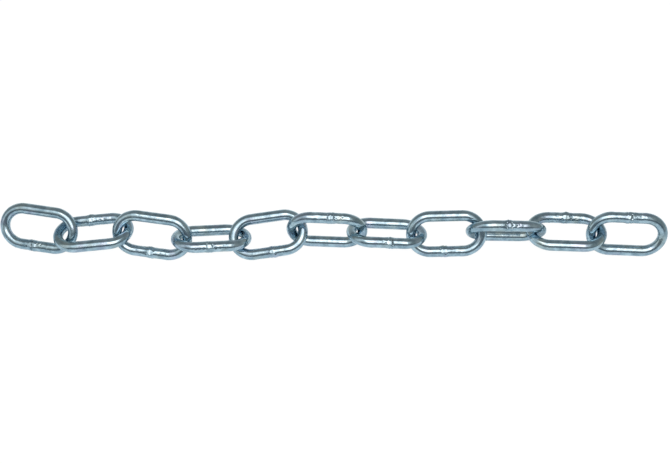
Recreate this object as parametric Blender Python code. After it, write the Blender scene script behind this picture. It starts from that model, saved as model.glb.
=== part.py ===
"""A short run of welded steel chain: eleven interlinked links lying loose on a level floor.

Metres, +Z up. The run lies along X, seen from -Y, with the floor at Z = 0 and the origin on the floor
under its middle.
"""

from dataclasses import dataclass
from math import cos, pi, radians, sin

import bpy
import numpy as np
from mathutils import Euler, Vector

MM = 0.001

# One link. The wire is a little thinner round the ends, where the bending has stretched it.
WIRE_SIDE = 6.0 * MM
WIRE_END = 5.4 * MM
INSIDE_LENGTH = 33.5 * MM
OUTSIDE_WIDTH = 25.8 * MM
END_DEPTH_SHARE = 1.06  # depth of each rounded end over half its width
RUNNING_GAP = 0.34 * MM  # between neighbours, where the real wires touch

# The butt weld in the middle of one side stands a little proud of the wire.
WELD_FLAT = 1.3 * MM
WELD_HALF = 3.6 * MM
WELD_PROUD = 0.25 * MM

# How finely the wire is divided. Its facets lie just outside the round wire.
WIRE_FACETS = 12
FACET_REACH = 1 / cos(pi / WIRE_FACETS)
END_STEPS = 11
SAMPLES = 220
SLIDE_BACK = 4.0 * MM
SLIDE_STEP = 0.02 * MM

STEEL_COLOUR = (0.46, 0.51, 0.54, 1.0)
STEEL_ROUGHNESS = 0.32
STEEL_METALLIC = 1.0

HALF_WIDTH = (OUTSIDE_WIDTH - WIRE_SIDE) / 2
HALF_LENGTH = (INSIDE_LENGTH + WIRE_END) / 2
END_DEPTH = HALF_WIDTH * END_DEPTH_SHARE
HALF_STRAIGHT = HALF_LENGTH - END_DEPTH


@dataclass
class Lie:
    """How one link lies, in degrees and metres."""

    heading: float  # turned about the vertical
    nose: float  # right end raised
    lean: float  # 0 lies flat, 90 stands on edge, positive lifts the far side
    sideways: float  # Y of the link's centre
    rise: float = 0.0  # height of its lowest point, where its neighbours carry it
    weld_far: bool = False  # the weld is in the far or upper side


RUN = (
    Lie(heading=-10.5, nose=0.0, lean=48.5, sideways=1.0 * MM),
    Lie(heading=4.5, nose=3.5, lean=-6.0, sideways=-2.3 * MM, rise=6.5 * MM, weld_far=True),
    Lie(heading=-7.5, nose=-3.0, lean=56.0, sideways=-4.6 * MM),
    Lie(heading=10.0, nose=-8.0, lean=-23.5, sideways=-4.1 * MM),
    Lie(heading=2.5, nose=9.5, lean=26.5, sideways=-2.1 * MM),
    Lie(heading=-2.0, nose=-1.0, lean=89.0, sideways=-2.0 * MM, weld_far=True),
    Lie(heading=-1.5, nose=-2.0, lean=-19.0, sideways=-2.4 * MM, rise=4.2 * MM),
    Lie(heading=0.5, nose=1.5, lean=52.0, sideways=-3.0 * MM),
    Lie(heading=2.0, nose=-4.0, lean=114.0, sideways=-2.3 * MM, weld_far=True),
    Lie(heading=-2.5, nose=0.0, lean=-0.5, sideways=-2.5 * MM, rise=8.8 * MM, weld_far=True),
    Lie(heading=-3.0, nose=0.0, lean=66.0, sideways=-4.1 * MM, weld_far=True),
)


def end_points(steps):
    """The right-hand end of the centre line, from the near side to the far side: x, y and wire radius."""
    points = []
    for step in range(steps + 1):
        angle = pi * (step / steps - 0.5)
        thin = cos(angle) * (WIRE_SIDE - WIRE_END) / 2
        x = HALF_STRAIGHT + END_DEPTH * cos(angle)
        points.append((x, HALF_WIDTH * sin(angle), WIRE_SIDE / 2 - thin))
    return points


def weld_points():
    """The weld's swelling along the far side, from right to left."""
    plain = WIRE_SIDE / 2
    places = ((WELD_HALF, plain), (WELD_FLAT, plain + WELD_PROUD))
    places += ((-WELD_FLAT, plain + WELD_PROUD), (-WELD_HALF, plain))
    return [(x, HALF_WIDTH, radius) for x, radius in places]


def link_points(weld_far):
    """The closed centre line of one link in its own plane: x, y and wire radius."""
    right = end_points(END_STEPS)
    left = [(-x, -y, radius) for x, y, radius in right]
    ring = right + weld_points() + left
    if weld_far:
        return ring
    return [(-x, -y, radius) for x, y, radius in ring]


def samples_of(points):
    """The closed centre line as evenly spread rows of x, y, 0 and wire radius."""
    ring = np.array(points + points[:1])
    along = np.r_[0.0, np.cumsum(np.linalg.norm(np.diff(ring[:, :2], axis=0), axis=1))]
    places = np.linspace(0.0, along[-1], SAMPLES, endpoint=False)
    x, y, radius = (np.interp(places, along, column) for column in ring.T)
    return np.c_[x, y, np.zeros(SAMPLES)], radius


def rotation_of(lie):
    """Lean about the link's own length, then nose up, then heading."""
    return Euler((radians(lie.lean), -radians(lie.nose), radians(lie.heading)), "XYZ")


def clearance(first, second, radii):
    """The least space between two wires."""
    apart = np.linalg.norm(first[:, None] - second[None], axis=2)
    return (apart - radii[0][:, None] - radii[1][None]).min()


def pulled_out(before, moving, radii):
    """How far the moving link goes along +X from where it is until it meets the link before."""
    travel = 0.0
    while clearance(before, moving + (travel + SLIDE_STEP, 0, 0), radii) >= RUNNING_GAP:
        travel += SLIDE_STEP
    return travel


def lay_run(run):
    """Each link's centre and outline, with the links pulled taut one after another along X."""
    centres = []
    outlines = []
    for lie in run:
        flat, radius = samples_of(link_points(lie.weld_far))
        shape = flat @ np.array(rotation_of(lie).to_matrix()).T
        lowest = (shape[:, 2] - radius * FACET_REACH).min()
        centre = np.array((0.0, lie.sideways, lie.rise - lowest))
        if centres:
            before, before_radius = outlines[-1]
            centre[0] = centres[-1][0] + INSIDE_LENGTH - WIRE_END / 2 - SLIDE_BACK
            centre[0] += pulled_out(before, shape + centre, (before_radius, radius))
        centres.append(centre)
        outlines.append((shape + centre, radius))
    return centres, outlines


def middle_of(outlines):
    """The point of the floor under the middle of the run's bounding box."""
    lows = [(points - radius[:, None]).min(axis=0) for points, radius in outlines]
    highs = [(points + radius[:, None]).max(axis=0) for points, radius in outlines]
    middle = (np.min(lows, axis=0) + np.max(highs, axis=0)) / 2
    return Vector((middle[0], middle[1], 0.0))


def steel_material(name):
    """Bright zinc-plated steel."""
    material = bpy.data.materials.new(name)
    material.use_nodes = True
    shader = material.node_tree.nodes["Principled BSDF"]
    shader.inputs["Base Color"].default_value = STEEL_COLOUR
    shader.inputs["Roughness"].default_value = STEEL_ROUGHNESS
    shader.inputs["Metallic"].default_value = STEEL_METALLIC
    return material


def link_curve(name, weld_far):
    """The link's wire as a closed round tube, turned so that one facet faces into the loop."""
    curve = bpy.data.curves.new(name, "CURVE")
    curve.dimensions = "3D"
    curve.twist_mode = "Z_UP"
    curve.bevel_depth = FACET_REACH
    curve.bevel_resolution = (WIRE_FACETS - 4) // 2
    spline = curve.splines.new("POLY")
    spline.use_cyclic_u = True
    spline.use_smooth = True
    points = link_points(weld_far)
    spline.points.add(len(points) - 1)
    for point, (x, y, radius) in zip(spline.points, points):
        point.co = (x, y, 0.0, 1.0)
        point.radius = radius
        point.tilt = pi / WIRE_FACETS
    return curve


def clear_scene():
    for old in list(bpy.data.objects):
        bpy.data.objects.remove(old, do_unlink=True)


def main():
    clear_scene()
    collection = bpy.data.collections.new("steel_chain")
    bpy.context.scene.collection.children.link(collection)
    centres, outlines = lay_run(RUN)
    middle = middle_of(outlines)
    for number, (lie, centre) in enumerate(zip(RUN, centres), start=1):
        name = f"link_{number:02d}"
        link = bpy.data.objects.new(name, link_curve(name, lie.weld_far))
        link.data.materials.append(steel_material(name + "_zinc"))
        link.rotation_euler = rotation_of(lie)
        link.location = Vector(centre) - middle
        collection.objects.link(link)


if __name__ == "__main__":
    main()
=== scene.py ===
"""The looks of a short run of welded steel chain: eleven interlinked, zinc-plated links lying loose.

Each link of the frame is replaced by a finely made one on the same centre line, with the upset, seam, flash
and electrode marks of its butt weld, and a bright zinc finish. Metres, +Z up, seen from -Y and above.
"""

import logging
from dataclasses import dataclass, field
from enum import Enum
from math import cos, pi, radians, sin, tan

import bpy
import numpy as np
from mathutils import Euler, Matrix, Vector


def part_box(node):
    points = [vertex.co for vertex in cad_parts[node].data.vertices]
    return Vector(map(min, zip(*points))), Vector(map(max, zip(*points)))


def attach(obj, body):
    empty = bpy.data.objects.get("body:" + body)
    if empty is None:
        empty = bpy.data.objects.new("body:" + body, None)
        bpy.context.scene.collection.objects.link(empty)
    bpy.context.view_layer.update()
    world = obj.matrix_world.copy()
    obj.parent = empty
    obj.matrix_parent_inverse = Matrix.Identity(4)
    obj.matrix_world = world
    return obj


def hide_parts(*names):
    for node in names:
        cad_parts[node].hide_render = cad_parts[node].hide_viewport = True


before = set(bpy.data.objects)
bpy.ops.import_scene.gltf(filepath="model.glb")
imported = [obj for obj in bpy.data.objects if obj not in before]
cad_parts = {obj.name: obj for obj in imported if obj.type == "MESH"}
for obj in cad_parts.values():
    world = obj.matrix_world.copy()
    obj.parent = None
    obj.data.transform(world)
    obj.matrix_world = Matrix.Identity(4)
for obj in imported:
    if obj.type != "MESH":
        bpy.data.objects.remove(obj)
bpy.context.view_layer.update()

log = logging.getLogger("steel_chain")

MM = 0.001


def linear(colour: str) -> tuple[float, float, float, float]:
    """Turn an sRGB hex colour into the linear one that shaders and lights take.

    Args:
        colour: six hex digits after a hash.

    Returns:
        Red, green, blue and an alpha of 1.
    """
    shares = [int(colour[place : place + 2], 16) / 255 for place in (1, 3, 5)]
    red, green, blue = (s / 12.92 if s <= 0.04045 else ((s + 0.055) / 1.055) ** 2.4 for s in shares)
    return red, green, blue, 1.0


def add_node(
    tree: bpy.types.NodeTree,
    kind: str,
    inputs: dict[str | int, object] | None = None,
    **settings: object,
) -> bpy.types.Node:
    """Add one shader node, with its settings, values and links.

    Args:
        tree: the node tree to add to.
        kind: the node's type without the word ShaderNode.
        inputs: a value, or the socket that feeds it, for each input's name or number.
        settings: the node's own properties.

    Returns:
        The new node.
    """
    node = tree.nodes.new("ShaderNode" + kind)
    for name, value in settings.items():
        setattr(node, name, value)
    for name, value in (inputs or {}).items():
        if isinstance(value, bpy.types.NodeSocket):
            tree.links.new(value, node.inputs[name])
        else:
            node.inputs[name].default_value = value
    return node


class WeldedSide(Enum):
    """Which side of a link carries its weld, as the sign of the link's own sideways axis."""

    NEAR = -1
    FAR = 1


@dataclass(frozen=True)
class BrightZinc:
    """Bright zinc electroplate with a clear blue passivate, on drawn low-carbon steel wire.

    The plate is a mirror with a soft edge: the dim room and the white lamp show in it as crisp bands, cool
    in colour, with faint straw and violet tints where the passivate is thicker. The drawing die leaves fine
    lines along the wire. The weld's surroundings are dull, pitted and a little burnt, and dark scale is left
    in the nicks. The die lines and the pits are drawn about five times as coarse as real ones, so that they
    show in the render.
    """

    clean: str = "#b4cdda"
    cloudy: str = "#87a2b1"
    straw: str = "#bfc4ae"
    violet: str = "#b3abcb"
    burnt: str = "#5f7079"
    scale: str = "#27343b"
    metallic: float = 1.0
    smooth: float = 0.10
    hazy: float = 0.22
    rough_weld: float = 0.1  # more than elsewhere, where the weld marked it most
    cloud_from: float = 0.35  # of the clouds' pattern, where the plate is clean
    cloud_to: float = 0.65  # and where it is cloudiest
    cloud_size: float = 3.6 * MM
    tint_size: float = 8.0 * MM
    line_width: float = 0.35 * MM
    line_length: float = 14.0 * MM
    pit_size: float = 0.5 * MM
    line_height: float = 0.004 * MM
    pit_height: float = 0.03 * MM
    pits_on_clean: float = 0.06  # the share of their depth that pits have where nothing marked the wire
    pits_full: float = 0.5  # how marked the wire is where they have all of it
    ripple_size: float = 1.8 * MM
    ripple_height: float = 0.024 * MM
    grain_roughness: float = 0.55

    def make(self) -> bpy.types.Material:
        """Make the material from the two attributes that every link carries.

        Returns:
            The material. Its patterns lie in the wire as it was before it was bent.
        """
        material = bpy.data.materials.new("bright_zinc_plate")
        material.use_nodes = True
        tree = material.node_tree
        shader = tree.nodes["Principled BSDF"]
        shader.inputs["Metallic"].default_value = self.metallic
        wire = add_node(tree, "Attribute", attribute_name="wire").outputs["Vector"]
        weld = add_node(tree, "Attribute", attribute_name="weld").outputs["Fac"]
        grain = {"Vector": wire, "Scale": 1 / self.cloud_size, "Detail": 4.0}
        cloud = add_node(tree, "TexNoise", grain | {"Roughness": self.grain_roughness}).outputs["Fac"]
        tree.links.new(self.colour(tree, wire, weld, cloud), shader.inputs["Base Color"])
        tree.links.new(self.roughness(tree, weld, cloud), shader.inputs["Roughness"])
        tree.links.new(self.relief(tree, wire, weld), shader.inputs["Normal"])
        return material

    def colour(
        self,
        tree: bpy.types.NodeTree,
        wire: bpy.types.NodeSocket,
        weld: bpy.types.NodeSocket,
        cloud: bpy.types.NodeSocket,
    ) -> bpy.types.NodeSocket:
        """Cloudy plate with faint straw and violet tints, burnt round the weld and dark in its nicks.

        Args:
            tree: the material's node tree.
            wire: the place along and across the straight wire.
            weld: how far the weld has marked the surface, from 0 to 1.
            cloud: the clouds of the plate, about 0.3 to 0.7.

        Returns:
            The socket with the colour.
        """
        grain = {"Vector": wire, "Scale": 1 / self.tint_size, "Detail": 1.0}
        tint = add_node(tree, "TexNoise", grain).outputs["Fac"]
        layers = (  # pattern, where in it the layer starts, where it is full, how much shows there, colour
            (cloud, self.cloud_from, self.cloud_to, 1.0, self.cloudy),
            (tint, 0.56, 0.75, 0.3, self.straw),
            (tint, 0.44, 0.25, 0.3, self.violet),
            (weld, 0.2, 0.5, 0.12, self.burnt),
            (weld, 0.5, 1.0, 0.85, self.scale),
        )
        plate = linear(self.clean)
        for mask, start, full, most, over in layers:
            share = add_node(tree, "MapRange", {0: mask, 1: start, 2: full, 3: 0.0, 4: most}).outputs[0]
            inputs = {0: share, 6: plate, 7: linear(over)}
            plate = add_node(tree, "Mix", inputs, data_type="RGBA").outputs[2]
        return plate

    def roughness(
        self, tree: bpy.types.NodeTree, weld: bpy.types.NodeSocket, cloud: bpy.types.NodeSocket
    ) -> bpy.types.NodeSocket:
        """Hazy in the clouds and dull round the weld.

        Args:
            tree: the material's node tree.
            weld: how far the weld has marked the surface, from 0 to 1.
            cloud: the clouds of the plate, about 0.3 to 0.7.

        Returns:
            The socket with the roughness.
        """
        inputs = {0: cloud, 1: self.cloud_from, 2: self.cloud_to, 3: self.smooth, 4: self.hazy}
        plate = add_node(tree, "MapRange", inputs).outputs[0]
        dull = add_node(tree, "Math", {0: weld, 1: self.rough_weld}, operation="MULTIPLY").outputs[0]
        return add_node(tree, "Math", {0: plate, 1: dull}, operation="ADD").outputs[0]

    def relief(
        self, tree: bpy.types.NodeTree, wire: bpy.types.NodeSocket, weld: bpy.types.NodeSocket
    ) -> bpy.types.NodeSocket:
        """Die lines along the wire, a gentle ripple, and pits that deepen at the weld.

        Args:
            tree: the material's node tree.
            wire: the place along and across the straight wire.
            weld: how far the weld has marked the surface, from 0 to 1.

        Returns:
            The socket with the bumped normal.
        """
        squeeze = (self.line_width / self.line_length, 1.0, 1.0)
        drawn = add_node(tree, "VectorMath", {0: wire, 1: squeeze}, operation="MULTIPLY").outputs[0]
        inputs = {0: weld, 1: 0.0, 2: self.pits_full, 3: self.pits_on_clean, 4: 1.0}
        deeper = add_node(tree, "MapRange", inputs).outputs[0]
        marks = (  # pattern's place, size, height, and how strong it is
            (drawn, self.line_width, self.line_height, 1.0),
            (wire, self.ripple_size, self.ripple_height, 1.0),
            (wire, self.pit_size, self.pit_height, deeper),
        )
        normal = add_node(tree, "NewGeometry").outputs["Normal"]
        for place, size, height, strength in marks:
            grain = {"Vector": place, "Scale": 1 / size, "Detail": 2.0, "Roughness": self.grain_roughness}
            noise = add_node(tree, "TexNoise", grain).outputs["Fac"]
            inputs = {"Height": noise, "Distance": height, "Strength": strength, "Normal": normal}
            normal = add_node(tree, "Bump", inputs).outputs[0]
        return normal


@dataclass(frozen=True)
class PaleFloor:
    """A white acrylic light table: matt, faintly mottled, with a soft glow from below.

    The photograph's ground is pure white with almost no shadow, so that is what the camera is shown, while
    the chain still mirrors the table with the shadows that fall on it.
    """

    light: str = "#f0f9fd"
    shade: str = "#eaf4f9"
    seen: str = "#ffffff"  # what the camera is shown
    seen_strength: float = 1.06
    roughness: float = 0.6
    mottle: float = 50.0 * MM
    glow: float = 0.08
    hides_shadow: float = 0.9  # the share of that white in what the camera is shown

    def make(self) -> bpy.types.Material:
        """Make the material.

        Returns:
            The floor's material.
        """
        material = bpy.data.materials.new("white_acrylic")
        material.use_nodes = True
        tree = material.node_tree
        shader = tree.nodes["Principled BSDF"]
        shader.inputs["Roughness"].default_value = self.roughness
        shader.inputs["Emission Color"].default_value = linear(self.light)
        shader.inputs["Emission Strength"].default_value = self.glow
        place = add_node(tree, "TexCoord").outputs["Object"]
        noise = add_node(tree, "TexNoise", {"Vector": place, "Scale": 1 / self.mottle}).outputs["Fac"]
        inputs = {0: noise, 6: linear(self.light), 7: linear(self.shade)}
        board = add_node(tree, "Mix", inputs, data_type="RGBA").outputs[2]
        tree.links.new(board, shader.inputs["Base Color"])
        direct = add_node(tree, "LightPath").outputs["Is Camera Ray"]
        share = add_node(tree, "Math", {0: direct, 1: self.hides_shadow}, operation="MULTIPLY").outputs[0]
        inputs = {"Color": linear(self.seen), "Strength": self.seen_strength}
        white = add_node(tree, "Emission", inputs).outputs[0]
        mix = add_node(tree, "MixShader", {0: share, 1: shader.outputs[0], 2: white}).outputs[0]
        tree.links.new(mix, tree.nodes["Material Output"].inputs["Surface"])
        return material


@dataclass(frozen=True)
class Wire:
    """The size of one link, and how finely its wire is divided."""

    side: float = 6.0 * MM  # the wire's diameter along the sides
    end: float = 5.36 * MM  # and where the bends have stretched it
    inside_length: float = 33.4 * MM
    outside_width: float = 25.8 * MM
    end_depth_share: float = 1.06  # of half the centre line's width
    rings: int = 400  # along the wire
    around: int = 64  # points in each ring
    end_steps: int = 600  # of each rounded end's centre line
    fine_steps: int = 4000  # among which the rings find their places
    closer_at_weld: float = 2.4  # times as close as elsewhere
    weld_reach: float = 10.0 * MM

    @property
    def half_width(self) -> float:
        """Half the width of the centre line."""
        return (self.outside_width - self.side) / 2

    @property
    def end_depth(self) -> float:
        """How far each rounded end reaches past the straight sides."""
        return self.half_width * self.end_depth_share

    @property
    def half_straight(self) -> float:
        """Half the length of a straight side."""
        return (self.inside_length + self.end) / 2 - self.end_depth

    def end_line(self) -> np.ndarray:
        """Lay out the centre line of one rounded end, from the side at -Y to the side at +Y.

        Returns:
            Rows of x, y, the outward direction's x and y, and the wire's radius.
        """
        angle = np.linspace(-pi / 2, pi / 2, self.end_steps + 1)
        x = self.half_straight + self.end_depth * np.cos(angle)
        y = self.half_width * np.sin(angle)
        outward = np.c_[self.half_width * np.cos(angle), self.end_depth * np.sin(angle)]
        outward /= np.linalg.norm(outward, axis=1)[:, None]
        radius = self.side / 2 - np.cos(angle) * (self.side - self.end) / 2
        return np.c_[x, y, outward, radius]

    def half_turn(self) -> np.ndarray:
        """Lay out half of the centre line, from the middle of the side at -Y to that of the side at +Y.

        Returns:
            The same rows as end_line.
        """
        middle = np.array((0.0, self.half_width, 0.0, 1.0, self.side / 2))
        below = middle * (1, -1, 1, -1, 1)
        return np.vstack((below, self.end_line(), middle))

    def closed_line(self) -> tuple[np.ndarray, np.ndarray]:
        """Lay out the whole centre line, starting and ending at the middle of the side at +Y.

        Returns:
            How far along the wire each row is, and the rows.
        """
        right = self.half_turn()
        left = right * (-1, -1, -1, -1, 1)
        rows = np.vstack((left, right[1:]))
        along = np.r_[0.0, np.cumsum(np.linalg.norm(np.diff(rows[:, :2], axis=0), axis=1))]
        return along, rows

    def ring_places(self, length: float) -> np.ndarray:
        """Choose where the rings go, closer together near the weld, where the wire's two ends meet.

        Args:
            length: the wire's length.

        Returns:
            Places along the wire, from 0 to just short of its length.
        """
        fine = np.linspace(0.0, length, self.fine_steps)
        from_weld = np.minimum(fine, length - fine)
        density = 1 + (self.closer_at_weld - 1) * np.clip(2 - 2 * from_weld / self.weld_reach, 0, 1)
        total = np.r_[0.0, np.cumsum((density[1:] + density[:-1]) / 2)]
        wanted = np.linspace(0.0, total[-1], self.rings, endpoint=False)
        return np.interp(wanted, total, fine)


@dataclass(frozen=True)
class Mark:
    """One bead of flash on a weld, or one nick beside it, which has a height below 0.

    Its turn is measured in degrees round the wire, in the upright plane across the run: 0 faces the viewer's
    side of the floor, 90 faces up, 180 faces away. Its other sizes are in millimetres.
    """

    turn: float
    height: float
    place: float  # towards the right end of the run from the weld
    width: float = 0.6


@dataclass(frozen=True)
class Weld:
    """The butt weld in one side of a link, and the marks that the electrodes leave beside it."""

    seed: int
    place: float  # how far it is from the side's middle towards the right end of the run
    marks: tuple[Mark, ...]
    facet_turn: float = 54.0  # degrees, as a mark's turn
    facet_level: float = 0.07 * MM
    facet_least: float = 0.3  # the least cosine that the facet is worked out for
    upset: float = 0.17 * MM
    upset_half: float = 1.2 * MM
    upset_fade: float = 1.1 * MM
    upset_uneven: tuple[float, float, float] = (0.75, 0.25, 0.2)  # even, once round, twice round
    seam_depth: float = 0.2 * MM
    seam_width: float = 0.28 * MM
    seam_wander: float = 0.5 * MM
    seam_waver: float = 0.4  # of the wander, three times round
    seam_open: tuple[float, float] = (0.45, 0.55)  # even, in places
    lip_height: float = 0.08 * MM
    lip_place: float = 0.75 * MM
    lip_width: float = 0.32 * MM
    lip_least: float = 0.5  # of its height, where the seam is closed
    step: float = 0.2 * MM
    step_width: float = 0.4 * MM
    step_fade: float = 5.0 * MM
    clamp_place: float = 5.5 * MM
    clamp_half: float = 2.6 * MM
    clamp_depth: float = 0.09 * MM
    clamp_edge: float = 0.55  # the cosine at which a flat begins
    clamp_wobble: float = 0.5  # radians that a flat is off the level
    dents: int = 26
    dent_depth: float = 0.13 * MM
    dent_width: float = 0.5 * MM
    dent_depths: tuple[float, float] = (0.3, 1.0)  # of that depth, and below of that width
    dent_widths: tuple[float, float] = (0.6, 1.5)
    dent_lengths: tuple[float, float] = (1.0, 2.2)  # of the dent's own width
    dents_from: float = 1.2 * MM
    scuff_reach: float = 9.0 * MM
    scuff_fade: float = 1.3  # times that reach, where the scuffing ends
    scuff_beside: float = 0.55  # of the scuffing at the weld
    scuff_core: float = 2.5 * MM
    bare_most: float = 0.5  # how marked the wire is at the weld itself
    dark_depth: float = 0.3 * MM  # how deep a nick is that keeps all its scale
    dark_fade: float = 1.5  # the power by which shallower ones keep less

    def relief(self, along: np.ndarray, turn: np.ndarray, radius: float) -> np.ndarray:
        """Work out how far the surface stands out from the plain wire.

        Args:
            along: signed distance from the weld towards the right end of the run, one for each ring.
            turn: angle round the wire, one for each point of a ring.
            radius: the wire's radius.

        Returns:
            One height for each ring and point.
        """
        rng = np.random.default_rng(self.seed)
        along, turn = along[:, None], turn[None]
        height = self.upset * self.swell(turn, rng) * self.flat_top(along, self.upset_half)
        height = height + self.seam(along, turn, rng)
        for mark in self.marks:
            width = mark.width * MM
            around = self.apart(turn, radians(mark.turn)) * radius
            height += mark.height * MM * self.bell(along - mark.place * MM, width) * self.bell(around, width)
        height = np.minimum(height, self.facet(turn, radius))
        return height + self.clamp_flats(along, turn, rng) + self.dent_field(along, turn, radius, rng)

    def facet(self, turn: np.ndarray, radius: float) -> np.ndarray:
        """Say where the dressed-off face of the weld cuts the flash, which is what flashes white.

        Args:
            turn: angle round the wire, as a row.
            radius: the wire's radius.

        Returns:
            The most that the surface may stand out from the plain wire at each angle.
        """
        facing = np.maximum(np.cos(self.apart(turn, radians(self.facet_turn))), self.facet_least)
        return (radius + self.facet_level) / facing - radius

    def swell(self, turn: np.ndarray, rng: np.random.Generator) -> np.ndarray:
        """Say how unevenly the upset swells round the wire.

        Args:
            turn: angle round the wire, as a row.
            rng: the weld's own random numbers.

        Returns:
            About 0.3 to 1.2 for each angle.
        """
        first, second = rng.uniform(0, 2 * pi, 2)
        even, once, twice = self.upset_uneven
        return even + once * np.cos(turn - first) + twice * np.cos(2 * turn - second)

    def seam(self, along: np.ndarray, turn: np.ndarray, rng: np.random.Generator) -> np.ndarray:
        """Draw the wandering seam, open in some places and closed in others, between two low lips.

        Args:
            along: signed distance from the weld, as a column.
            turn: angle round the wire, as a row.
            rng: the weld's own random numbers.

        Returns:
            One height for each ring and point.
        """
        first, second, third, fourth = rng.uniform(0, 2 * pi, 4)
        middle = self.seam_wander * (np.sin(turn - first) + self.seam_waver * np.sin(3 * turn - second))
        even, places = self.seam_open
        opened = even + places * np.cos(turn - third) * np.cos(2 * turn - fourth)
        height = -self.seam_depth * opened * self.bell(along - middle, self.seam_width)
        for side in (-1, 1):
            lip = self.bell(along - middle - side * self.lip_place, self.lip_width)
            height = height + self.lip_height * (self.lip_least + opened) * lip
        return height

    def clamp_flats(self, along: np.ndarray, turn: np.ndarray, rng: np.random.Generator) -> np.ndarray:
        """Press the electrodes' flats into the wire on both sides of the weld.

        Args:
            along: signed distance from the weld, as a column.
            turn: angle round the wire, as a row.
            rng: the weld's own random numbers.

        Returns:
            One height, at most 0, for each ring and point.
        """
        height = np.zeros((len(along), turn.shape[1]))
        for side in (-1, 1):
            pressed = self.flat_top(along - side * self.clamp_place, self.clamp_half)
            for face in (0, pi):
                facing = np.cos(turn - face - rng.uniform(-self.clamp_wobble, self.clamp_wobble))
                flat = np.clip((facing - self.clamp_edge) / (1 - self.clamp_edge), 0, 1)
                height -= self.clamp_depth * pressed * flat
        return height

    def dent_field(
        self, along: np.ndarray, turn: np.ndarray, radius: float, rng: np.random.Generator
    ) -> np.ndarray:
        """Scatter small dents on both sides of the weld.

        Args:
            along: signed distance from the weld, as a column.
            turn: angle round the wire, as a row.
            radius: the wire's radius.
            rng: the weld's own random numbers.

        Returns:
            One height, at most 0, for each ring and point.
        """
        height = np.zeros((len(along), turn.shape[1]))
        for _ in range(self.dents):
            place = rng.uniform(self.dents_from, self.scuff_reach) * rng.choice((-1, 1))
            around = self.apart(turn, rng.uniform(0, 2 * pi)) * radius
            width = self.dent_width * rng.uniform(*self.dent_widths)
            long = width * rng.uniform(*self.dent_lengths)
            deep = self.dent_depth * rng.uniform(*self.dent_depths)
            height -= deep * self.bell(along - place, long) * self.bell(around, width)
        return height

    def scuffed(self, along: np.ndarray) -> np.ndarray:
        """Say how much the weld has marked each ring.

        Args:
            along: signed distance from the weld.

        Returns:
            The most, bare_most, at the weld, falling to 0 past the electrodes' marks.
        """
        near = np.clip(1 - np.abs(along) / self.scuff_core, 0, 1)
        wide = np.clip(1 - np.abs(along) / (self.scuff_fade * self.scuff_reach), 0, 1)
        return self.bare_most * np.maximum(near, self.scuff_beside * wide)

    def scaled(self, height: np.ndarray) -> np.ndarray:
        """Say how much dark scale each nick keeps, from 0 to 1."""
        return np.clip(-height / self.dark_depth, 0, 1) ** self.dark_fade

    def flat_top(self, distance: np.ndarray, half: float) -> np.ndarray:
        """Give 1 out to that distance, fading smoothly to 0 past it."""
        past = np.clip((np.abs(distance) - half) / self.upset_fade, 0, 1)
        return 1 - past * past * (3 - 2 * past)

    @staticmethod
    def bell(distance: np.ndarray, width: float) -> np.ndarray:
        """Give a smooth hump of height 1 with that half-width."""
        return np.exp(-((distance / width) ** 2))

    @staticmethod
    def apart(turn: np.ndarray, other: float) -> np.ndarray:
        """Give the signed angle from one turn to another, the short way round."""
        return (turn - other + pi) % (2 * pi) - pi


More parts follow.
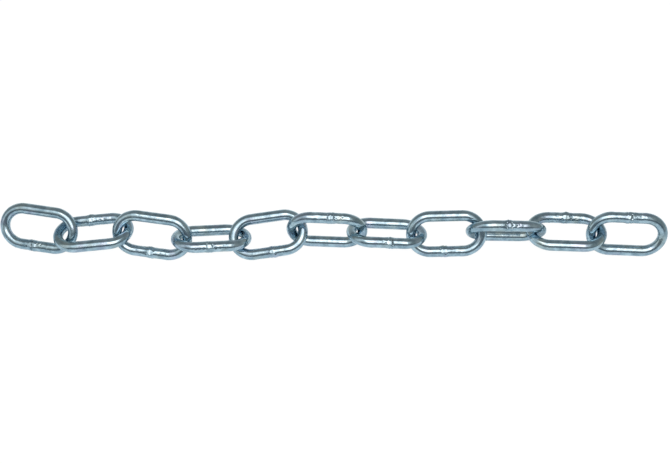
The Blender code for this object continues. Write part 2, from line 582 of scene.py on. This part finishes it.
@dataclass(frozen=True)
class Link:
    """One link of the run: how it lies, in degrees, and its weld."""

    number: int
    heading: float  # its right end's turn away from the viewer
    nose: float  # its right end's tilt upwards
    lean: float  # its far side's turn upwards, past 90 towards the viewer
    welded: WeldedSide
    weld: Weld
    wire: Wire = field(default_factory=Wire)

    @property
    def name(self) -> str:
        """The name of the link's node and body in the frame."""
        return f"link_{self.number:02d}"

    @property
    def turned(self) -> np.ndarray:
        """The link's rotation: lean about its own length, then nose up, then heading."""
        angles = (radians(self.lean), -radians(self.nose), radians(self.heading))
        return np.array(Euler(angles, "XYZ").to_matrix())

    def welded_frame(self) -> np.ndarray:
        """Give the axes in which the centre line is laid out, with the weld on the +Y side.

        Returns:
            The axes as the columns of a matrix. A link welded on its near side is turned end for end.
        """
        half_turned = np.diag((self.welded.value, self.welded.value, 1.0))
        return self.turned @ half_turned

    def surface(self) -> tuple[np.ndarray, np.ndarray, np.ndarray]:
        """Work out the link's surface about its own middle, turned as it lies.

        Returns:
            Points for each ring and turn, the place of each in the straight wire, and how far the weld has
            marked each.
        """
        wire, axes = self.wire, self.welded_frame()
        along, rows = wire.closed_line()
        length = along[-1]
        places = wire.ring_places(length)
        x, y, out_x, out_y, radius = (np.interp(places, along, column) for column in rows.T)
        outward = np.c_[out_x, out_y] / np.hypot(out_x, out_y)[:, None]
        from_weld = np.where(places > length / 2, places - length, places)
        rightward = -self.welded.value * from_weld - self.weld.place
        turn = np.linspace(0, 2 * pi, wire.around, endpoint=False)
        height = self.weld.relief(rightward, self.turn_of(turn, axes), wire.side / 2)
        rim = radius[:, None] + height
        middle = np.c_[x, y] + outward * (self.weld.step / 2 * self.offset(rightward))[:, None]
        flat = middle[:, None] + outward[:, None] * (rim * np.cos(turn))[..., None]
        points = np.concatenate((flat, (rim * np.sin(turn))[..., None]), axis=2)
        straight = np.stack(
            (np.broadcast_to(places[:, None], rim.shape), rim * np.cos(turn), rim * np.sin(turn)), axis=2
        )
        marked = np.maximum(self.weld.scuffed(rightward)[:, None], self.weld.scaled(height))
        return points @ axes.T, straight, marked

    def turn_of(self, turn: np.ndarray, axes: np.ndarray) -> np.ndarray:
        """Turn angles round the welded side's wire into angles in the upright plane across the run.

        Args:
            turn: angles from the side's outward direction towards the link's own up.
            axes: the welded frame.

        Returns:
            Angles from the viewer's side of the floor up, in radians.
        """
        outward = np.arctan2(axes[2, 1], -axes[1, 1])
        return outward - self.welded.value * turn

    def offset(self, from_weld: np.ndarray) -> np.ndarray:
        """Say how far the wire's two ends stand out of line where they meet.

        Args:
            from_weld: signed distance from the weld.

        Returns:
            From -1 to 1, fading away from the weld.
        """
        fade = np.clip(1 - np.abs(from_weld) / self.weld.step_fade, 0, 1)
        return np.tanh(from_weld / self.weld.step_width) * fade * fade

    def build(self) -> bpy.types.Object:
        """Make the link as one closed mesh where its node stands in the frame.

        Returns:
            The link, still without its plate.
        """
        points, straight, marked = self.surface()
        points = points.reshape(-1, 3)
        corners = self.face_corners()
        mesh = bpy.data.meshes.new(self.name + "_plated")
        mesh.from_pydata(points.tolist(), [], corners.tolist())
        mesh.shade_smooth()
        self.write_attributes(mesh, straight, marked, corners)
        link = bpy.data.objects.new(self.name + "_plated", mesh)
        link.location = Vector(self.middle() - (points.max(axis=0) + points.min(axis=0)) / 2)
        bpy.context.scene.collection.objects.link(link)
        return link

    def face_corners(self) -> np.ndarray:
        """Join the rings' points into four-cornered faces, the last ring to the first.

        Returns:
            The four points of each face, ring by ring.
        """
        rings, around = self.wire.rings, self.wire.around
        ring, turn = np.meshgrid(np.arange(rings), np.arange(around), indexing="ij")
        here, there = ring * around, (ring + 1) % rings * around
        beside = (turn + 1) % around
        return np.stack((here + turn, there + turn, there + beside, here + beside), axis=2).reshape(-1, 4)

    def middle(self) -> np.ndarray:
        """The middle of the node's box in the frame."""
        low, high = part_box(self.name)
        return (np.array(low) + np.array(high)) / 2

    def write_attributes(
        self, mesh: bpy.types.Mesh, straight: np.ndarray, marked: np.ndarray, corners: np.ndarray
    ) -> None:
        """Store each face corner's place in the straight wire, and the weld's marks.

        Args:
            mesh: the link's mesh.
            straight: the place along and across the straight wire, for each ring and turn.
            marked: how far the weld has marked each.
            corners: the points of each face, ring by ring.
        """
        length = self.wire.closed_line()[0][-1]
        place = straight.reshape(-1, 3)[corners]
        place[-straight.shape[1] :, 1:3, 0] += length  # the last faces reach the wire's other end
        place[..., 0] += self.number
        wire = mesh.attributes.new("wire", "FLOAT_VECTOR", "CORNER")
        wire.data.foreach_set("vector", place.astype(np.float32).ravel())
        weld = mesh.attributes.new("weld", "FLOAT", "POINT")
        weld.data.foreach_set("value", marked.astype(np.float32).ravel())

    def dress(self, link: bpy.types.Object, zinc: bpy.types.Material) -> None:
        """Plate the link and put it on its body in place of its node.

        Args:
            link: the link's object.
            zinc: its finish.
        """
        link.data.materials.append(zinc)
        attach(link, self.name)
        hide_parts(self.name)


@dataclass(frozen=True)
class Run:
    """The eleven links, from left to right."""

    links: tuple[Link, ...]

    def make(self, zinc: bpy.types.Material) -> None:
        """Build and dress every link.

        Args:
            zinc: their finish.
        """
        for link in self.links:
            made = link.build()
            link.dress(made, zinc)
            log.info("%s: %d faces, welded side %s", made.name, len(made.data.polygons), link.welded.name)


@dataclass(frozen=True)
class Lamp:
    """A soft rectangular lamp or card that faces the middle of the run. Its angles are in degrees."""

    name: str
    elevation: float  # above the viewer's side of the floor, 90 overhead, 180 behind the run
    aside: float  # towards the right end of the run
    distance: float
    half_high: float  # half of the angle that it fills, up and down
    half_wide: float
    radiance: float
    colour: str = "#ffffff"
    mirrored: bool = True  # whether the chain shows it

    def hang(self) -> None:
        """Hang the lamp, facing the run."""
        light = bpy.data.lights.new(self.name, "AREA")
        light.shape = "RECTANGLE"
        light.size = 2 * self.distance * tan(radians(self.half_wide))
        light.size_y = 2 * self.distance * tan(radians(self.half_high))
        light.energy = self.radiance * pi * light.size * light.size_y
        light.color = linear(self.colour)[:3]
        lamp = bpy.data.objects.new(self.name, light)
        up, right = radians(self.elevation), radians(self.aside)
        place = Vector((sin(right), -cos(right) * cos(up), cos(right) * sin(up))) * self.distance
        lamp.location = place
        lamp.rotation_euler = place.to_track_quat("Z", "Y").to_euler()
        lamp.visible_glossy = self.mirrored
        bpy.context.scene.collection.objects.link(lamp)


@dataclass(frozen=True)
class Room:
    """The dim room round the table, which the chain mirrors."""

    tones: tuple[tuple[float, str], ...] = (  # at each angle in degrees, as a lamp's elevation
        (-5.0, "#b2b7ba"),
        (4.0, "#797f83"),
        (25.0, "#7a7f84"),
        (34.0, "#a8a8a3"),
        (90.0, "#a3a39e"),
        (100.0, "#929493"),
        (140.0, "#959796"),
        (160.0, "#a1a4a3"),
        (180.0, "#ced1d0"),
    )
    beside: str = "#a6a6a1"
    beside_from: float = 0.62  # the sine of the angle to the side where that tone starts
    beside_to: float = 0.88  # and where there is no other
    backdrop: str = "#ffffff"

    def make(self) -> None:
        """Make the world. It shows as a white backdrop where it is seen directly."""
        world = bpy.data.worlds.new("studio_room")
        bpy.context.scene.world = world
        world.use_nodes = True
        tree = world.node_tree
        direction = add_node(tree, "TexCoord").outputs["Generated"]
        axes = add_node(tree, "SeparateXYZ", {0: direction}).outputs
        before = add_node(tree, "Math", {0: axes[1], 1: -1.0}, operation="MULTIPLY").outputs[0]
        angle = add_node(tree, "Math", {0: axes[2], 1: before}, operation="ARCTAN2").outputs[0]
        low, high = self.tones[0][0], self.tones[-1][0]
        inputs = {0: angle, 1: radians(low), 2: radians(high), 3: 0.0, 4: 1.0}
        share = add_node(tree, "MapRange", inputs).outputs[0]
        ramp = add_node(tree, "ValToRGB", {0: share})
        stops = ramp.color_ramp.elements
        for degrees, _ in self.tones[1:-1]:
            stops.new((degrees - low) / (high - low))
        for stop, (_, tone) in zip(stops, self.tones):
            stop.color = linear(tone)
        sideways = add_node(tree, "Math", {0: axes[0]}, operation="ABSOLUTE").outputs[0]
        inputs = {0: sideways, 1: self.beside_from, 2: self.beside_to, 3: 0.0, 4: 1.0}
        share = add_node(tree, "MapRange", inputs).outputs[0]
        inputs = {0: share, 6: ramp.outputs[0], 7: linear(self.beside)}
        tone = add_node(tree, "Mix", inputs, data_type="RGBA").outputs[2]
        seen = add_node(tree, "LightPath").outputs["Is Camera Ray"]
        inputs = {0: seen, 6: tone, 7: linear(self.backdrop)}
        tone = add_node(tree, "Mix", inputs, data_type="RGBA").outputs[2]
        tree.links.new(tone, tree.nodes["Background"].inputs["Color"])


@dataclass(frozen=True)
class Studio:
    """The pale table, the lamps, the dim room and the camera."""

    lamps: tuple[Lamp, ...]
    floor_half: float = 3.0
    aim: tuple[float, float, float] = (0.0016, 0.0099, 0.0)
    view_elevation: float = 50.8  # degrees
    view_distance: float = 0.6663
    lens: float = 64.1  # mm, as the sensor
    sensor: float = 36.0

    def make(self) -> None:
        """Set up everything round the chain."""
        self.lay_floor()
        Room().make()
        for lamp in self.lamps:
            lamp.hang()
        self.place_camera()
        bpy.context.scene.view_settings.view_transform = "Standard"

    def lay_floor(self) -> None:
        """Lay the table top at the floor's height."""
        half = self.floor_half
        corners = [(-half, -half, 0.0), (half, -half, 0.0), (half, half, 0.0), (-half, half, 0.0)]
        mesh = bpy.data.meshes.new("table_top")
        mesh.from_pydata(corners, [], [(0, 1, 2, 3)])
        mesh.materials.append(PaleFloor().make())
        floor = bpy.data.objects.new("table_top", mesh)
        bpy.context.scene.collection.objects.link(floor)

    def place_camera(self) -> None:
        """Put the camera where the photograph was taken from."""
        camera = bpy.data.cameras.new("photograph_view")
        camera.lens = self.lens
        camera.sensor_width = self.sensor
        seat = bpy.data.objects.new("photograph_view", camera)
        angle = radians(self.view_elevation)
        back = Vector((0.0, -cos(angle), sin(angle)))
        seat.location = Vector(self.aim) + back * self.view_distance
        seat.rotation_euler = back.to_track_quat("Z", "Y").to_euler()
        bpy.context.scene.collection.objects.link(seat)
        bpy.context.scene.camera = seat


NEAR, FAR = WeldedSide.NEAR, WeldedSide.FAR

# Each link's weld: its seed, its place, and its marks, as turn, height, place and width.
WELDS = (
    Weld(
        11,
        -2.5 * MM,
        (
            Mark(50, -0.45, 0, 0.6),
            Mark(95, 0.2, 0.5, 0.6),
            Mark(25, 0.18, -0.5, 0.6),
            Mark(62, 0.12, 1.0, 0.5),
            Mark(45, 0.14, -1.0, 0.5),
            Mark(75, -0.2, 3.0, 0.5),
            Mark(72, -0.2, 5.0, 0.5),
        ),
        bare_most=0.8,
    ),
    Weld(
        12,
        -1.9 * MM,
        (
            Mark(120, 0.28, 0, 1.0),
            Mark(58, 0.35, 0, 1.0),
            Mark(100, -0.3, 1.6, 0.5),
            Mark(100, -0.25, -1.5, 0.5),
            Mark(60, -0.15, 1.7, 0.45),
        ),
    ),
    Weld(
        13,
        0.0 * MM,
        (
            Mark(50, 0.5, 0, 1.3),
            Mark(125, 0.3, 0.2, 0.8),
            Mark(25, 0.3, -0.2, 0.8),
            Mark(30, -0.3, -1.9, 0.6),
            Mark(75, -0.25, 1.6, 0.5),
        ),
    ),
    Weld(
        14,
        -2.5 * MM,
        (
            Mark(55, 0.3, 0, 0.9),
            Mark(75, -0.35, -1.4, 0.35),
            Mark(55, -0.4, -1.4, 0.35),
            Mark(35, -0.4, -1.4, 0.35),
            Mark(70, -0.35, 1.5, 0.4),
            Mark(48, -0.4, 1.5, 0.4),
            Mark(33, -0.16, -3.2, 0.5),
            Mark(31, -0.14, -5.5, 0.4),
            Mark(33, -0.2, 3.2, 0.6),
            Mark(36, -0.12, 5.6, 0.4),
            Mark(30, -0.13, -7.4, 0.45),
        ),
    ),
    Weld(
        15,
        1.9 * MM,
        (
            Mark(52, 0.5, 0, 1.1),
            Mark(32, -0.3, 1.5, 0.5),
            Mark(80, -0.2, -1.4, 0.5),
        ),
    ),
    Weld(
        16,
        1.9 * MM,
        (
            Mark(58, 0.45, -0.1, 1.0),
            Mark(80, -0.4, -1.6, 0.4),
            Mark(58, -0.4, -1.7, 0.4),
            Mark(38, -0.4, -1.6, 0.4),
            Mark(80, -0.4, 1.6, 0.45),
            Mark(58, -0.4, 1.7, 0.45),
            Mark(36, -0.4, 1.6, 0.45),
            Mark(45, -0.2, 3, 0.4),
            Mark(58, -0.2, 4.2, 0.4),
            Mark(40, -0.2, 5.4, 0.4),
            Mark(62, -0.2, 6.4, 0.4),
        ),
    ),
    Weld(
        17,
        1.5 * MM,
        (
            Mark(50, 0.4, -0.3, 1.0),
            Mark(85, -0.4, 1.3, 0.65),
            Mark(60, -0.5, 1.3, 0.7),
            Mark(36, -0.5, 1.4, 0.65),
            Mark(45, -0.2, -2.4, 0.5),
            Mark(60, -0.2, -3.6, 0.5),
            Mark(130, 0.25, 0.2, 0.8),
        ),
    ),
    Weld(
        18,
        -1.4 * MM,
        (
            Mark(52, 0.3, -0.8, 0.9),
            Mark(50, 0.3, 0.9, 0.8),
            Mark(30, -0.35, 0.8, 0.6),
            Mark(75, -0.25, -2, 0.4),
            Mark(55, -0.2, 0, 0.3),
        ),
    ),
    Weld(
        19,
        -0.8 * MM,
        (
            Mark(58, 0.5, 0, 1.0),
            Mark(58, -0.45, 1.7, 0.55),
            Mark(36, -0.45, 1.2, 0.55),
            Mark(80, -0.45, 1.2, 0.55),
            Mark(58, -0.45, -1.7, 0.55),
            Mark(36, -0.45, -1.2, 0.55),
            Mark(80, -0.45, -1.2, 0.55),
            Mark(50, -0.22, 4.2, 0.5),
            Mark(62, -0.22, 5.6, 0.45),
            Mark(130, 0.25, 0, 0.7),
        ),
    ),
    Weld(
        20,
        0.5 * MM,
        (
            Mark(130, 0.4, 0, 0.9),
            Mark(60, 0.45, -0.2, 1.0),
            Mark(70, -0.22, 1.8, 0.4),
            Mark(42, -0.2, 2.6, 0.4),
            Mark(62, -0.2, 3.4, 0.4),
            Mark(40, -0.16, -2.2, 0.4),
        ),
    ),
    Weld(
        21,
        0.0 * MM,
        (
            Mark(58, 0.45, -0.4, 0.9),
            Mark(80, -0.45, 1.2, 0.6),
            Mark(58, -0.5, 1.3, 0.7),
            Mark(38, -0.45, 1.2, 0.6),
            Mark(100, -0.25, 0.4, 0.5),
            Mark(45, 0.2, 2.6, 1.0),
        ),
    ),
)

# Each link: its number, heading, nose, lean, welded side and weld.
RUN = Run(
    links=(
        Link(1, -10.5, 0.0, 48.5, NEAR, WELDS[0]),
        Link(2, 4.5, 3.5, -6.0, FAR, WELDS[1]),
        Link(3, -7.5, -3.0, 56.0, NEAR, WELDS[2]),
        Link(4, 10.0, -8.0, -23.5, NEAR, WELDS[3]),
        Link(5, 2.5, 9.5, 26.5, NEAR, WELDS[4]),
        Link(6, -2.0, -1.0, 89.0, FAR, WELDS[5]),
        Link(7, -1.5, -2.0, -19.0, NEAR, WELDS[6]),
        Link(8, 0.5, 1.5, 52.0, NEAR, WELDS[7]),
        Link(9, 2.0, -4.0, 114.0, FAR, WELDS[8]),
        Link(10, -2.5, 0.0, -0.5, FAR, WELDS[9]),
        Link(11, -3.0, 0.0, 66.0, FAR, WELDS[10]),
    )
)

STUDIO = Studio(
    lamps=(
        Lamp(
            name="softbox",
            elevation=62.5,
            aside=1.5,
            distance=1.0,
            half_high=21.0,
            half_wide=20.0,
            radiance=1.95,
            colour="#ffebe2",
        ),
        Lamp(
            name="softbox_rim",
            elevation=62.0,
            aside=1.5,
            distance=1.02,
            half_high=25.5,
            half_wide=33.0,
            radiance=0.4,
        ),
        Lamp(
            name="left_card",
            elevation=66.0,
            aside=-44.0,
            distance=1.1,
            half_high=34.0,
            half_wide=16.0,
            radiance=0.5,
        ),
        Lamp(
            name="table_light",
            elevation=62.0,
            aside=0.0,
            distance=1.3,
            half_high=9.0,
            half_wide=9.0,
            radiance=7.0,
            colour="#f0f8ff",
            mirrored=False,
        ),
    )
)


def main() -> None:
    """Build the run and the studio."""
    logging.basicConfig(level=logging.INFO, format="%(message)s")
    RUN.make(BrightZinc().make())
    STUDIO.make()


if __name__ == "__main__":
    main()
